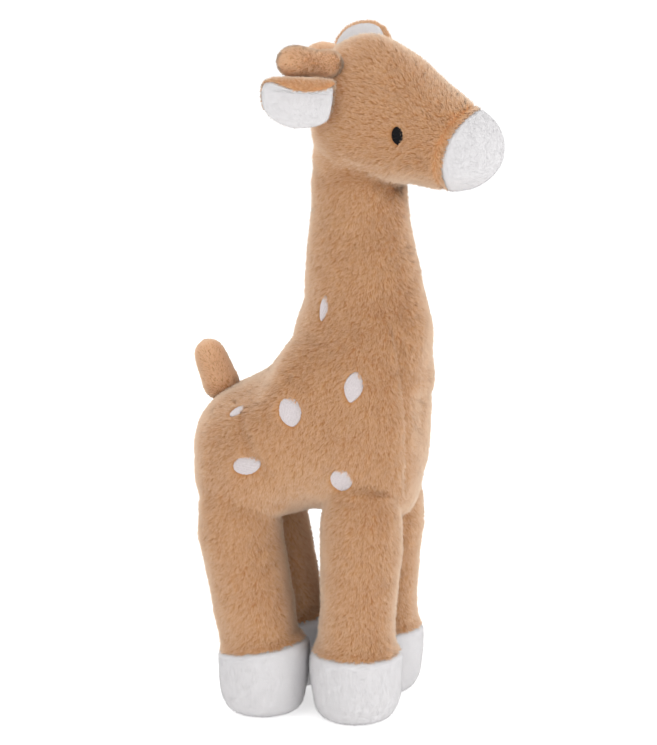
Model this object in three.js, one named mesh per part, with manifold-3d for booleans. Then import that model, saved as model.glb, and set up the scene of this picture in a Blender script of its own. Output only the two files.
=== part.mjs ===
// Plush giraffe, standing. Millimetres, +X towards its nose, +Y to its left, +Z up.
// The origin is on the ground, under the middle of the toy.
// Sewn plush skins are thin shells that are open where two of them are sewn together.
// A stuffing fills each one. A limb ends in a ball that lies in a dimple of the larger body.

import * as THREE from "three";
import { mergeVertices } from "three/addons/utils/BufferGeometryUtils.js";
import Module from "manifold-3d";

const wasm = await Module();
wasm.setup();

// Cloth and clearances
const skinWall = 3;
const gap = 0.3;
const seatGap = 0.35;
const patchThickness = 0.9;
const overrun = 2;

// Torso: a swelling form that lies along X
const torsoLength = 131;
const torsoRise = 76;
const torsoDrop = 54;
const torsoHalfWidth = 50;
const torsoAxisHeight = 150;
const torsoRearReach = 87;

// Legs: hips below the torso, and round hooves that stand flat
const hipHeight = 100;
const hipInset = 10;
const hipSpread = 26;
const frontHipReach = 13;
const hindHipReach = -55.5;
const frontHipRadius = 22.5;
const hindHipRadius = 23.5;
const frontShinRadius = 21.2;
const hindShinRadius = 22.6;
const ankleRadius = 21.8;
const hoofRadius = 25.1;
const hoofHeight = 38;
const hoofRoundingHeight = 8;
const hoofFlatRadius = 17;
const hoofFlatDepth = 0.5;
const frontStep = -3;
const hindStep = 13;
const hindSeamTilt = 9;

// Neck: rises from a rounded groove across the torso
const neckRootReach = 8;
const neckRootHeight = 212;
const neckRootRadius = 37.5;
const neckRootInset = 7;
const neckLength = 78;
const neckRootHalfWidth = 36;
const neckTopRadius = 26;
const neckTopShift = -3;

// Head: a wedge that hangs forward over the top of the neck
const headLength = 113;
const headRise = 31.5;
const headDrop = 45;
const headHalfWidth = 34;
const headTilt = 27;
const headBackReach = -22.7;
const headBackHeight = 62.4;
const headSeatInset = 7;
const headCrownTaperShare = 0.22;
const muzzleLength = 23;

// Eyes: embroidered ovals on the cheeks
const eyeReach = 30.6;
const eyeHeight = 31;
const eyeLength = 6;
const eyeTallness = 9.2;

// Ears: a plush back and a white lining, pinched at the root
const earLength = 38;
const earHalfWidth = 17.5;
const earBackThickness = 4.6;
const earLiningThickness = 2.8;
const leftEarRollRadius = 5;
const leftEarRollStart = 11;
const rightEarRollRadius = 6;
const rightEarRollStart = 1;
const earRootRadius = 6.6;
const earRootReach = -4.5;
const earRootSpread = 35;
const earRootHeight = 49.5;

// Horns: soft knobs on short stalks
const hornLength = 31;
const hornStalkRadius = 7.4;
const hornKnobRadius = 8.9;
const hornRootRadius = 7.8;
const hornRootReach = -9.5;
const hornRootSpread = 24.5;
const hornRootHeight = 65;

// Tail: a stub that points up and back
const tailLength = 26;
const tailRootRadius = 10.4;
const tailEndRadius = 8.8;
const tailReach = -73.5;
const tailHeight = 177;
const tailTilt = 22;

// Stitched spots: the length of the usual one
const spotLength = 16;

// Facets of the outer surface of each form, and of the plainer surfaces inside it
const torsoFacets = { sides: 22, rings: 14 };
const neckFacets = { sides: 20, rings: 8 };
const headFacets = { sides: 20, rings: 14 };
const legFacets = { sides: 16, rings: 9 };
const smallFacets = { sides: 12, rings: 7 };
const earFacets = { sides: 16, rings: 7 };
const innerFacets = { sides: 10, rings: 7 };
const domeSteps = 3;
const ballFacets = 16;
const smallBallFacets = 12;
const spotSegments = 5;

// Colours of the cloth and of the thread
const tanPlush = 0xcda37c;
const whitePlush = 0xeeebec;
const blackThread = 0x17161a;

const degrees = THREE.MathUtils.degToRad;
const forward = new THREE.Vector3(1, 0, 0);
const upward = new THREE.Vector3(0, 0, 1);
const downward = new THREE.Vector3(0, 0, -1);

// A named part with its own cloth
function part(name, solid, colour) {
  const { vertProperties, triVerts } = solid.getMesh();
  const geometry = new THREE.BufferGeometry();
  geometry.setAttribute("position", new THREE.BufferAttribute(new Float32Array(vertProperties), 3));
  geometry.setIndex(new THREE.BufferAttribute(new Uint32Array(triVerts), 1));
  geometry.computeVertexNormals();
  const material = new THREE.MeshStandardMaterial({ color: colour, roughness: 0.95, metalness: 0 });
  const mesh = new THREE.Mesh(geometry, material);
  mesh.name = name;
  return mesh;
}

// A closed three.js geometry as a solid that can be cut and joined
function solidOf(geometry) {
  const bare = geometry.clone();
  bare.deleteAttribute("normal");
  bare.deleteAttribute("uv");
  const merged = mergeVertices(bare);
  return new wasm.Manifold(new wasm.Mesh({
    numProp: 3,
    vertProperties: new Float32Array(merged.attributes.position.array),
    triVerts: new Uint32Array(merged.index.array),
  }));
}

// A ball whose facets all lie outside the named radius
function roundSeat(radius, centre, facets = ballFacets) {
  const clear = radius / Math.cos(Math.PI / facets) ** 2;
  const ball = new THREE.SphereGeometry(clear, facets, facets / 2);
  ball.rotateX(Math.PI / 2);
  return solidOf(ball.translate(centre.x, centre.y, centre.z));
}

// A box between two corners
function block(low, high) {
  const size = high.clone().sub(low);
  const middle = high.clone().add(low).multiplyScalar(0.5);
  const box = new THREE.BoxGeometry(size.x, size.y, size.z);
  return solidOf(box.translate(middle.x, middle.y, middle.z));
}

// A round bar that lies across the toy, along Y
function crossBar(radius, halfLength, centre) {
  const bar = new THREE.CylinderGeometry(radius, radius, 2 * halfLength, 2 * ballFacets);
  return solidOf(bar.translate(centre.x, centre.y, centre.z));
}

// Smooth rings through a few stations. A station says how far along the form it is, how far the
// section reaches over and under the axis and to each side, and how its ring slopes.
function smoothRings(stations, count) {
  const heights = stations.map((s) => new THREE.Vector3(s.at, s.over, s.under));
  const widths = stations.map((s) => new THREE.Vector3(s.side, s.slope ?? 0, 0));
  const heightCurve = new THREE.CatmullRomCurve3(heights, false, "catmullrom");
  const widthCurve = new THREE.CatmullRomCurve3(widths, false, "catmullrom");
  return Array.from({ length: count + 1 }, (_, i) => {
    const height = heightCurve.getPoint(i / count);
    const width = widthCurve.getPoint(i / count);
    return { at: height.x, over: height.y, under: height.z, side: width.x, slope: width.y };
  });
}

// Rings of a half ball whose flat side faces along the form, from its pole to just before its rim
function domeRings(radius, steps, shift) {
  return Array.from({ length: steps }, (_, i) => {
    const turn = (i / steps) * (Math.PI / 2);
    const reach = radius * Math.sin(turn);
    return { at: radius * (1 - Math.cos(turn)), over: reach + shift, under: reach - shift, side: reach };
  });
}

// A closed form through rings, whose first and last ring are its two ends. The section is a
// superellipse: 2 is an ellipse, and more is squarer. Grow moves the whole surface out or in.
function loft({ origin, run, over, rings, sides, squareness = 2, taperShare = 0, fold, grow = 0 }) {
  const side = new THREE.Vector3().crossVectors(run, over);
  const first = rings[0].at;
  const span = rings[rings.length - 1].at - first;
  const positions = [];
  const addPoint = (ring, up, out) => {
    const middle = (ring.over - ring.under) / 2;
    const half = Math.max((ring.over + ring.under) / 2 + grow, gap);
    const width = Math.max(ring.side + grow, gap);
    const rise = middle + half * up;
    const endwise = grow * (2 * (ring.at - first) / span - 1);
    const along = ring.at + endwise - (ring.slope ?? 0) * (rise - middle);
    const flat = { across: width * out * (1 - taperShare * up), rise };
    const section = fold ? fold(flat) : flat;
    const point = origin.clone().addScaledVector(run, along);
    point.addScaledVector(over, section.rise);
    point.addScaledVector(side, section.across);
    positions.push(point.x, point.y, point.z);
  };
  const bend = (value) => Math.sign(value) * Math.abs(value) ** (2 / squareness);
  addPoint(rings[0], 0, 0);
  const inner = rings.slice(1, -1);
  for (const ring of inner) {
    for (let j = 0; j < sides; j += 1) {
      const turn = (j / sides) * 2 * Math.PI;
      addPoint(ring, bend(Math.cos(turn)), bend(Math.sin(turn)));
    }
  }
  addPoint(rings[rings.length - 1], 0, 0);
  const last = 1 + inner.length * sides;
  const index = [];
  for (let j = 0; j < sides; j += 1) {
    const next = (j + 1) % sides;
    index.push(0, 1 + next, 1 + j);
    for (let i = 0; i < inner.length - 1; i += 1) {
      const here = 1 + i * sides;
      const there = here + sides;
      index.push(here + j, here + next, there + next);
      index.push(here + j, there + next, there + j);
    }
    const rim = last - sides;
    index.push(rim + j, rim + next, last);
  }
  const geometry = new THREE.BufferGeometry();
  geometry.setAttribute("position", new THREE.Float32BufferAttribute(positions, 3));
  geometry.setIndex(index);
  return solidOf(geometry);
}

// The outside, the hollow and the stuffing of one form, cut alike by what it meets
function stuffed(form, outerFacets, hollowFacets) {
  return {
    outside: form(outerFacets, 0),
    hollow: form(hollowFacets, -skinWall),
    stuffing: form(hollowFacets, -skinWall - gap),
  };
}

// Torso
const torsoShares = [
  [0, -0.13, 0.185, 0],
  [0.014, 0.03, 0.41, 0.28],
  [0.051, 0.2, 0.7, 0.61],
  [0.124, 0.32, 0.91, 0.85],
  [0.24, 0.42, 1, 0.98],
  [0.356, 0.55, 0.93, 1],
  [0.48, 0.82, 0.74, 0.97],
  [0.604, 0.96, 0.74, 0.93],
  [0.72, 1, 0.94, 0.91],
  [0.822, 0.97, 0.93, 0.86],
  [0.916, 0.9, 0.78, 0.72],
  [0.971, 0.8, 0.4, 0.46],
  [0.993, 0.66, 0, 0.22],
  [1, 0.37, -0.52, 0],
];
const torsoSquareness = 2.4;

function torsoForm(facets, grow) {
  const stations = torsoShares.map(([at, over, under, side]) => ({
    at: at * torsoLength,
    over: over * torsoRise,
    under: under * torsoDrop,
    side: side * torsoHalfWidth,
  }));
  return loft({
    origin: new THREE.Vector3(-torsoRearReach, 0, torsoAxisHeight),
    run: forward,
    over: upward,
    rings: smoothRings(stations, facets.rings),
    sides: facets.sides,
    squareness: torsoSquareness,
    grow,
  });
}

const neckRoot = new THREE.Vector3(neckRootReach, 0, neckRootHeight);
const tailRoot = new THREE.Vector3(tailReach, 0, tailHeight);
const hips = [
  { name: "front", side: "left", at: new THREE.Vector3(frontHipReach, hipSpread, hipHeight) },
  { name: "front", side: "right", at: new THREE.Vector3(frontHipReach, -hipSpread, hipHeight) },
  { name: "hind", side: "left", at: new THREE.Vector3(hindHipReach, hipSpread, hipHeight) },
  { name: "hind", side: "right", at: new THREE.Vector3(hindHipReach, -hipSpread, hipHeight) },
];
const hipRadii = { front: frontHipRadius, hind: hindHipRadius };

// What the torso leaves clear: the space of the legs below it, and of the neck above it
function torsoSpaces() {
  const far = torsoLength;
  const belly = hipHeight + hipInset;
  const collar = neckRootHeight - neckRootInset;
  let spaces = block(new THREE.Vector3(-far, -far, -far), new THREE.Vector3(far, far, belly));
  spaces = spaces.add(block(
    new THREE.Vector3(-far, -far, collar),
    new THREE.Vector3(far, far, collar + far),
  ));
  spaces = spaces.add(crossBar(neckRootRadius + seatGap, torsoHalfWidth + overrun, neckRoot));
  spaces = spaces.add(roundSeat(tailRootRadius + seatGap, tailRoot, smallBallFacets));
  for (const hip of hips) {
    spaces = spaces.add(roundSeat(hipRadii[hip.name] + seatGap, hip.at));
  }
  return spaces;
}

// Embroidered spots, each aimed from a point on the middle plane out to the cloth. Along and up
// are shares of the form's length and height, and length and width are shares of the usual spot.
// The turn, the rise and the lean are in degrees.
const torsoSpotShares = [
  { name: "back", along: -0.13, up: 0.263, length: 1, width: 0.75, turn: -6, rise: 6, lean: 60 },
  { name: "rump", along: -0.382, up: -0.026, length: 1, width: 0.69, turn: -16, rise: 32, lean: 50 },
  { name: "haunch", along: -0.298, up: -0.118, length: 1, width: 0.656, turn: -6, rise: 0, lean: 15 },
  { name: "chest", along: 0.023, up: -0.184, length: 0.844, width: 0.844, turn: 4, rise: -2, lean: 0 },
];
const neckSpotShares = [
  { name: "shoulder", along: -0.027, up: -0.295, length: 1.125, width: 0.656, turn: 8, rise: 0, lean: 68 },
  { name: "neck", along: -0.107, up: 0.192, length: 0.94, width: 0.69, turn: -40, rise: 0, lean: 82 },
];

// An oval post that leaves the middle plane towards the cloth, on the left or the right
function ovalPost({ place, length, width, turn: turnDegrees, rise: riseDegrees, lean }, sideSign, reach) {
  const outline = new THREE.Shape();
  outline.absellipse(0, 0, length / 2, width / 2, 0, 2 * Math.PI);
  const post = new THREE.ExtrudeGeometry(outline, {
    depth: reach,
    bevelEnabled: false,
    curveSegments: spotSegments,
  });
  const turn = degrees(turnDegrees);
  const rise = degrees(riseDegrees);
  const out = new THREE.Vector3(
    Math.sin(turn) * Math.cos(rise),
    sideSign * Math.cos(turn) * Math.cos(rise),
    Math.sin(rise),
  );
  const along = new THREE.Vector3().crossVectors(out, upward).multiplyScalar(sideSign).normalize();
  const climb = new THREE.Vector3().crossVectors(out, along).normalize();
  post.rotateZ(degrees(lean) * sideSign);
  post.applyMatrix4(new THREE.Matrix4().makeBasis(along, climb, out));
  return solidOf(post.translate(place.x, 0, place.z));
}

// A patch of stitches that lies on the cloth of a form
function patch(name, form, facets, spot, sideSign, reach, colour) {
  const stitches = form(facets, gap + patchThickness).subtract(form(facets, gap));
  return part(name, stitches.intersect(ovalPost(spot, sideSign, reach)), colour);
}

const sides = [["left", 1], ["right", -1]];

// The pairs of spots on a form, whose places are counted from its centre in the form's own sizes
function addSpots(group, form, facets, spotShares, centre, lengthUnit, heightUnit, reach) {
  for (const shares of spotShares) {
    const spot = {
      ...shares,
      place: new THREE.Vector3(shares.along * lengthUnit, 0, shares.up * heightUnit).add(centre),
      length: shares.length * spotLength,
      width: shares.width * spotLength,
    };
    for (const [side, sign] of sides) {
      group.add(patch(`${shares.name}_spot_${side}`, form, facets, spot, sign, reach, whitePlush));
    }
  }
}

function buildTorso(group) {
  const { outside, hollow, stuffing } = stuffed(torsoForm, torsoFacets, innerFacets);
  const spaces = torsoSpaces();
  group.add(part("torso_skin", outside.subtract(hollow).subtract(spaces), tanPlush));
  group.add(part("torso_stuffing", stuffing.subtract(spaces), whitePlush));
  const centre = new THREE.Vector3(0, 0, torsoAxisHeight);
  const reach = 2 * torsoHalfWidth;
  addSpots(group, torsoForm, torsoFacets, torsoSpotShares, centre, torsoLength, torsoRise, reach);
}

// Legs. Each is modelled about its hip, and its foot may stand ahead of the hip or behind it.
const legSizes = {
  front: { hip: frontHipRadius, shin: frontShinRadius, step: frontStep, tilt: 0 },
  hind: { hip: hindHipRadius, shin: hindShinRadius, step: hindStep, tilt: hindSeamTilt },
};
const shinAtShare = 0.6;
const shinStepShare = 0.55;
const ankleAtShare = 0.93;
const ankleStepShare = 0.82;
const hoofBulgeShare = 0.12;
const hoofRoundingShare = 0.93;

function legRings(size, count) {
  const slope = Math.tan(degrees(size.tilt));
  const seam = hipHeight - hoofHeight;
  const station = (at, radius, shift, lean) => ({
    at: at + size.hip,
    over: radius + shift,
    under: radius - shift,
    side: radius,
    slope: lean,
  });
  const stations = [
    station(0, size.hip, 0, 0),
    station(seam * shinAtShare, size.shin, size.step * shinStepShare, slope / 2),
    station(seam * ankleAtShare, ankleRadius, size.step * ankleStepShare, slope),
    station(seam + hoofHeight * hoofBulgeShare, hoofRadius, size.step, slope),
    station(hipHeight - hoofRoundingHeight, hoofRadius * hoofRoundingShare, size.step, 0),
    station(hipHeight, hoofFlatRadius, size.step, 0),
    station(hipHeight + hoofFlatDepth, 0, size.step, 0),
  ];
  return [...domeRings(size.hip, domeSteps, 0), ...smoothRings(stations, count)];
}

function buildLeg(hip, size) {
  const form = (facets, grow) => loft({
    origin: new THREE.Vector3(0, 0, size.hip),
    run: downward,
    over: forward,
    rings: legRings(size, facets.rings),
    sides: facets.sides,
    grow,
  });
  const { outside, hollow, stuffing } = stuffed(form, legFacets, innerFacets);
  const wide = hipHeight;
  const ground = block(
    new THREE.Vector3(-wide, -wide, -2 * hipHeight),
    new THREE.Vector3(wide, wide, -hipHeight),
  );
  const mouth = block(
    new THREE.Vector3(-wide, -wide, size.hip * Math.SQRT1_2),
    new THREE.Vector3(wide, wide, wide),
  );
  const skin = outside.subtract(hollow).subtract(ground).subtract(mouth);
  const belowSeam = new THREE.BoxGeometry(2 * wide, 2 * wide, 2 * wide);
  belowSeam.translate(0, 0, -wide - gap / 2);
  const aboveSeam = new THREE.BoxGeometry(2 * wide, 2 * wide, 2 * wide);
  aboveSeam.translate(0, 0, wide + gap / 2);
  for (const half of [belowSeam, aboveSeam]) {
    half.rotateY(-degrees(size.tilt));
    half.translate(size.step * ankleStepShare, 0, hoofHeight - hipHeight);
  }
  const group = new THREE.Group();
  group.position.copy(hip.at);
  const label = `${hip.name}_${hip.side}`;
  group.add(part(`leg_skin_${label}`, skin.intersect(solidOf(aboveSeam)), tanPlush));
  group.add(part(`hoof_cap_${label}`, skin.intersect(solidOf(belowSeam)), whitePlush));
  group.add(part(`leg_stuffing_${label}`, stuffing, whitePlush));
  return group;
}

// Neck, modelled about its root. A row says how far along a station is, as a share of the root's
// radius below the root and of the neck's length above it, and how far its section reaches to the
// front, the back and each side, as shares of the sizes at the root or at the top.
const neckRootShares = [
  [-1.15, 0, 0, 0],
  [-1.12, 0.7, 0.8, 1.1],
  [-0.9, 1, 1.1, 1.24],
  [-0.5, 1, 1.09, 1.16],
  [0, 1, 1, 1],
];
const neckLowerShares = [
  [0.2, 0.9, 0.89, 0.87],
  [0.42, 0.8, 0.86, 0.8],
];
const neckUpperShares = [
  [0.62, 1.17, 1.06, 1.02],
  [0.82, 1.05, 1.01, 0.98],
  [1, 1, 1, 1],
];

function neckForm(facets, grow) {
  const topFront = neckTopRadius + neckTopShift;
  const topBack = neckTopRadius - neckTopShift;
  const rows = (shares, unit, front, back, wide) => shares.map(([at, over, under, side]) => ({
    at: neckRootRadius + at * unit,
    over: over * front,
    under: under * back,
    side: side * wide,
  }));
  const stations = [
    ...rows(neckRootShares, neckRootRadius, neckRootRadius, neckRootRadius, neckRootHalfWidth),
    ...rows(neckLowerShares, neckLength, neckRootRadius, neckRootRadius, neckRootHalfWidth),
    ...rows(neckUpperShares, neckLength, topFront, topBack, neckTopRadius),
  ];
  const top = neckRootRadius + neckLength + neckTopRadius;
  const dome = domeRings(neckTopRadius, domeSteps, neckTopShift).reverse();
  const cap = dome.map((ring) => ({ ...ring, at: top - ring.at }));
  return loft({
    origin: new THREE.Vector3(0, 0, -neckRootRadius),
    run: upward,
    over: forward,
    rings: [...smoothRings(stations, facets.rings), ...cap],
    sides: facets.sides,
    grow,
  });
}

function buildNeck() {
  const { outside, hollow, stuffing } = stuffed(neckForm, neckFacets, innerFacets);
  const far = 2 * neckLength;
  const kept = block(new THREE.Vector3(-far, -far, 0), new THREE.Vector3(far, far, far))
    .add(crossBar(neckRootRadius, torsoHalfWidth, new THREE.Vector3(0, 0, 0)));
  const mouth = block(
    new THREE.Vector3(-far, -far, neckLength + neckTopRadius * Math.SQRT1_2),
    new THREE.Vector3(far, far, far),
  );
  const skin = outside.intersect(kept).subtract(hollow).subtract(mouth);
  const group = new THREE.Group();
  group.position.copy(neckRoot);
  group.add(part("neck_skin", skin, tanPlush));
  group.add(part("neck_stuffing", stuffing.intersect(kept), whitePlush));
  const centre = new THREE.Vector3(0, 0, 0);
  const reach = 2 * neckRootRadius;
  addSpots(group, neckForm, neckFacets, neckSpotShares, centre, neckRootRadius, neckLength, reach);
  return group;
}

// Head, modelled about the middle of the ball at the top of the neck
const headShares = [
  [0, 0, 0, 0],
  [0.013, 0.25, 0.17, 0.28],
  [0.044, 0.51, 0.36, 0.5],
  [0.098, 0.77, 0.56, 0.72],
  [0.177, 0.957, 0.86, 0.88],
  [0.284, 1, 1, 0.98],
  [0.408, 0.94, 0.93, 1],
  [0.532, 0.843, 0.833, 0.97],
  [0.665, 0.763, 0.69, 0.87],
  [0.799, 0.683, 0.578, 0.76],
  [0.878, 0.606, 0.497, 0.67],
  [0.94, 0.457, 0.375, 0.51],
  [0.98, 0.27, 0.22, 0.31],
  [1, 0, 0, 0],
];
const headSquareness = 2.15;
const headRun = new THREE.Vector3(Math.cos(degrees(headTilt)), 0, -Math.sin(degrees(headTilt)));
const headOver = new THREE.Vector3(Math.sin(degrees(headTilt)), 0, Math.cos(degrees(headTilt)));
const headBack = new THREE.Vector3(headBackReach, 0, headBackHeight);

function headForm(facets, grow) {
  const stations = headShares.map(([at, over, under, side]) => ({
    at: at * headLength,
    over: over * headRise,
    under: under * headDrop,
    side: side * headHalfWidth,
  }));
  return loft({
    origin: headBack,
    run: headRun,
    over: headOver,
    rings: smoothRings(stations, facets.rings),
    sides: facets.sides,
    squareness: headSquareness,
    taperShare: headCrownTaperShare,
    grow,
  });
}

// The directions of an ear or a horn: where it points, and which way its face looks
function aim(point, face) {
  const run = new THREE.Vector3(...point).normalize();
  const look = new THREE.Vector3(...face);
  look.addScaledVector(run, -look.dot(run)).normalize();
  return { run, look, width: new THREE.Vector3().crossVectors(look, run) };
}

function aimedGroup(position, { run, look, width }) {
  const group = new THREE.Group();
  group.position.copy(position);
  group.quaternion.setFromRotationMatrix(new THREE.Matrix4().makeBasis(run, width, look));
  return group;
}

// The right ear is swept back, and the left ear stands up
const earAims = {
  left: aim([-0.22, 0.47, 0.86], [-0.02, -0.9, 0.4]),
  right: aim([-0.9, -0.41, 0.06], [0.3, -0.92, -0.1]),
};
const hornAims = {
  left: aim([-0.94, 0.33, -0.03], [0, 0, 1]),
  right: aim([-0.72, -0.68, 0.08], [0, 0, 1]),
};

const earShares = [
  [0, 0.3, 0],
  [0.02, 0.7, 0.55],
  [0.08, 1, 0.78],
  [0.25, 1, 0.95],
  [0.48, 1, 1],
  [0.68, 0.97, 0.92],
  [0.85, 0.85, 0.7],
  [0.96, 0.55, 0.4],
  [1, 0.1, 0],
];
const earLiningWidthShare = 0.94;
const earLiningStartShare = 0.08;
const earLiningEndShare = 0.97;

// Rings of one layer of an ear from its start to its end, raised towards the ear's face
function earRings(count, thickness, halfWidth, start, end, lift) {
  const stations = earShares.map(([at, thick, side]) => ({
    at: start + at * (end - start),
    over: lift + (thick * thickness) / 2,
    under: (thick * thickness) / 2 - lift,
    side: side * halfWidth,
  }));
  return smoothRings(stations, count);
}

// One long edge of each ear rolls over towards its lining, on the right ear further than on the left
const earRolls = {
  left: { radius: leftEarRollRadius, start: leftEarRollStart },
  right: { radius: rightEarRollRadius, start: rightEarRollStart },
};

function rollEdge(side) {
  const { radius, start } = earRolls[side];
  return ({ across, rise }) => {
    const past = across - start;
    if (past <= 0) {
      return { across, rise };
    }
    const turn = past / radius;
    const reach = radius - rise;
    return { across: start + reach * Math.sin(turn), rise: radius - reach * Math.cos(turn) };
  };
}

function earBackForm(side, facets, grow) {
  return loft({
    origin: new THREE.Vector3(0, 0, 0),
    run: forward,
    over: upward,
    rings: earRings(facets.rings, earBackThickness, earHalfWidth, 0, earLength, 0),
    sides: facets.sides,
    fold: rollEdge(side),
    grow,
  });
}

function buildEar(side, root) {
  const back = earBackForm(side, earFacets, 0);
  const rootBall = new THREE.SphereGeometry(earRootRadius, smallFacets.sides, smallFacets.rings);
  const halfWidth = earHalfWidth * earLiningWidthShare;
  const start = earLength * earLiningStartShare;
  const end = earLength * earLiningEndShare;
  const lining = loft({
    origin: new THREE.Vector3(0, 0, 0),
    run: forward,
    over: upward,
    rings: earRings(earFacets.rings, 2 * earLiningThickness, halfWidth, start, end, earBackThickness / 2),
    sides: earFacets.sides,
    fold: rollEdge(side),
  });
  const rootSpace = roundSeat(earRootRadius + gap, new THREE.Vector3(0, 0, 0), smallBallFacets);
  const group = aimedGroup(root, earAims[side]);
  group.add(part(`ear_back_${side}`, back.add(solidOf(rootBall)), tanPlush));
  const liningSolid = lining.subtract(earBackForm(side, earFacets, gap)).subtract(rootSpace);
  group.add(part(`ear_lining_${side}`, liningSolid, whitePlush));
  return group;
}

// A stuffed stub: a round root, a stalk and a rounded end. It is modelled along +X.
function stubForm(rootRadius, stations) {
  return (facets, grow) => loft({
    origin: new THREE.Vector3(-rootRadius, 0, 0),
    run: forward,
    over: upward,
    rings: [...domeRings(rootRadius, domeSteps - 1, 0), ...smoothRings(stations, facets.rings)],
    sides: facets.sides,
    grow,
  });
}

function buildStub(group, form, rootRadius, wall, skinName, stuffingName) {
  const far = hornLength + tailLength;
  const mouth = block(
    new THREE.Vector3(-far, -far, -far),
    new THREE.Vector3(-rootRadius * Math.SQRT1_2, far, far),
  );
  const skin = form(smallFacets, 0).subtract(form(smallFacets, -wall)).subtract(mouth);
  group.add(part(skinName, skin, tanPlush));
  group.add(part(stuffingName, form(smallFacets, -wall - gap), whitePlush));
}

// Round stations along a stub. A row says how far a station is from the start, as a share of the
// unit, and how thick the stub is there, as a share of the radius.
function roundStations(shares, start, unit, radius) {
  return shares.map(([along, thick]) => ({
    at: start + along * unit,
    over: thick * radius,
    under: thick * radius,
    side: thick * radius,
  }));
}

const hornRootShares = [[0, 1]];
const hornStalkShares = [[0.25, 0.98], [0.48, 1.12]];
const hornKnobShares = [[-0.1, 1], [0.55, 0.82], [0.9, 0.42], [1, 0]];

function buildHorn(side, root) {
  const knobMiddle = hornRootRadius + hornLength - hornKnobRadius;
  const stations = [
    ...roundStations(hornRootShares, hornRootRadius, hornLength, hornRootRadius),
    ...roundStations(hornStalkShares, hornRootRadius, hornLength, hornStalkRadius),
    ...roundStations(hornKnobShares, knobMiddle, hornKnobRadius, hornKnobRadius),
  ];
  const group = aimedGroup(root, hornAims[side]);
  const form = stubForm(hornRootRadius, stations);
  buildStub(group, form, hornRootRadius, skinWall / 2, `horn_skin_${side}`, `horn_stuffing_${side}`);
  return group;
}

const tailRootShares = [[0, 1], [0.4, 0.92]];
const tailEndShares = [[-0.9, 1], [-0.35, 0.78], [-0.08, 0.4], [0, 0]];

function buildTail() {
  const end = tailRootRadius + tailLength;
  const stations = [
    ...roundStations(tailRootShares, tailRootRadius, tailLength, tailRootRadius),
    ...roundStations(tailEndShares, end, tailEndRadius, tailEndRadius),
  ];
  const back = -Math.sin(degrees(tailTilt));
  const group = aimedGroup(tailRoot, aim([back, 0, Math.cos(degrees(tailTilt))], [1, 0, 0]));
  const form = stubForm(tailRootRadius, stations);
  buildStub(group, form, tailRootRadius, skinWall / 2, "tail_skin", "tail_stuffing");
  return group;
}

function buildHead() {
  const group = new THREE.Group();
  group.position.set(neckTopShift, 0, neckLength);
  const { outside, hollow, stuffing } = stuffed(headForm, headFacets, innerFacets);
  const origin = new THREE.Vector3(0, 0, 0);
  const neckSpace = new THREE.CylinderGeometry(1, 1, 1, 2 * ballFacets);
  const neckSpaceRadius = neckTopRadius + headSeatInset / 2;
  neckSpace.rotateX(Math.PI / 2);
  neckSpace.scale(neckSpaceRadius, neckSpaceRadius, neckLength);
  neckSpace.translate(0, 0, headSeatInset - neckLength / 2);
  let spaces = roundSeat(neckTopRadius + seatGap, origin).add(solidOf(neckSpace));
  for (const [side, sign] of sides) {
    const earRoot = new THREE.Vector3(earRootReach, sign * earRootSpread, earRootHeight);
    const hornRoot = new THREE.Vector3(hornRootReach, sign * hornRootSpread, hornRootHeight);
    spaces = spaces.add(roundSeat(earRootRadius + seatGap, earRoot, smallBallFacets));
    spaces = spaces.add(roundSeat(hornRootRadius + seatGap, hornRoot, smallBallFacets));
    group.add(buildEar(side, earRoot));
    group.add(buildHorn(side, hornRoot));
    const eye = {
      place: new THREE.Vector3(eyeReach, 0, eyeHeight),
      length: eyeTallness,
      width: eyeLength,
      turn: 0,
      rise: 0,
      lean: 90,
    };
    group.add(patch(`eye_${side}`, headForm, headFacets, eye, sign, 2 * headHalfWidth, blackThread));
  }
  const skin = outside.subtract(hollow).subtract(spaces);
  const seamPoint = headBack.clone().addScaledVector(headRun, headLength - muzzleLength);
  const halfSpace = (sign) => {
    const half = new THREE.BoxGeometry(headLength, 2 * headLength, 2 * headLength);
    half.translate(sign * (headLength + gap) / 2, 0, 0);
    half.rotateY(degrees(headTilt));
    return solidOf(half.translate(seamPoint.x, seamPoint.y, seamPoint.z));
  };
  group.add(part("head_skin", skin.intersect(halfSpace(-1)), tanPlush));
  group.add(part("muzzle_cap", skin.intersect(halfSpace(1)), whitePlush));
  group.add(part("head_stuffing", stuffing.subtract(spaces), whitePlush));
  return group;
}

const giraffe = new THREE.Group();
buildTorso(giraffe);
giraffe.add(buildTail());
for (const hip of hips) {
  giraffe.add(buildLeg(hip, legSizes[hip.name]));
}
const neck = buildNeck();
neck.add(buildHead());
giraffe.add(neck);

export default giraffe;
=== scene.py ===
"""A plush giraffe that stands on its hooves. +X points towards its nose, +Y to its left, +Z up.

The cloth is one smooth skin over the swelling forms of the body. Seams are pressed into it, then it
is cut at the seams and where a limb bends. Each cut-out carries a pile of fine tufts.
"""

import math
from collections import namedtuple

import bpy
import numpy as np
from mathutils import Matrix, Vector
from mathutils.bvhtree import BVHTree
from mathutils.kdtree import KDTree


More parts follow.
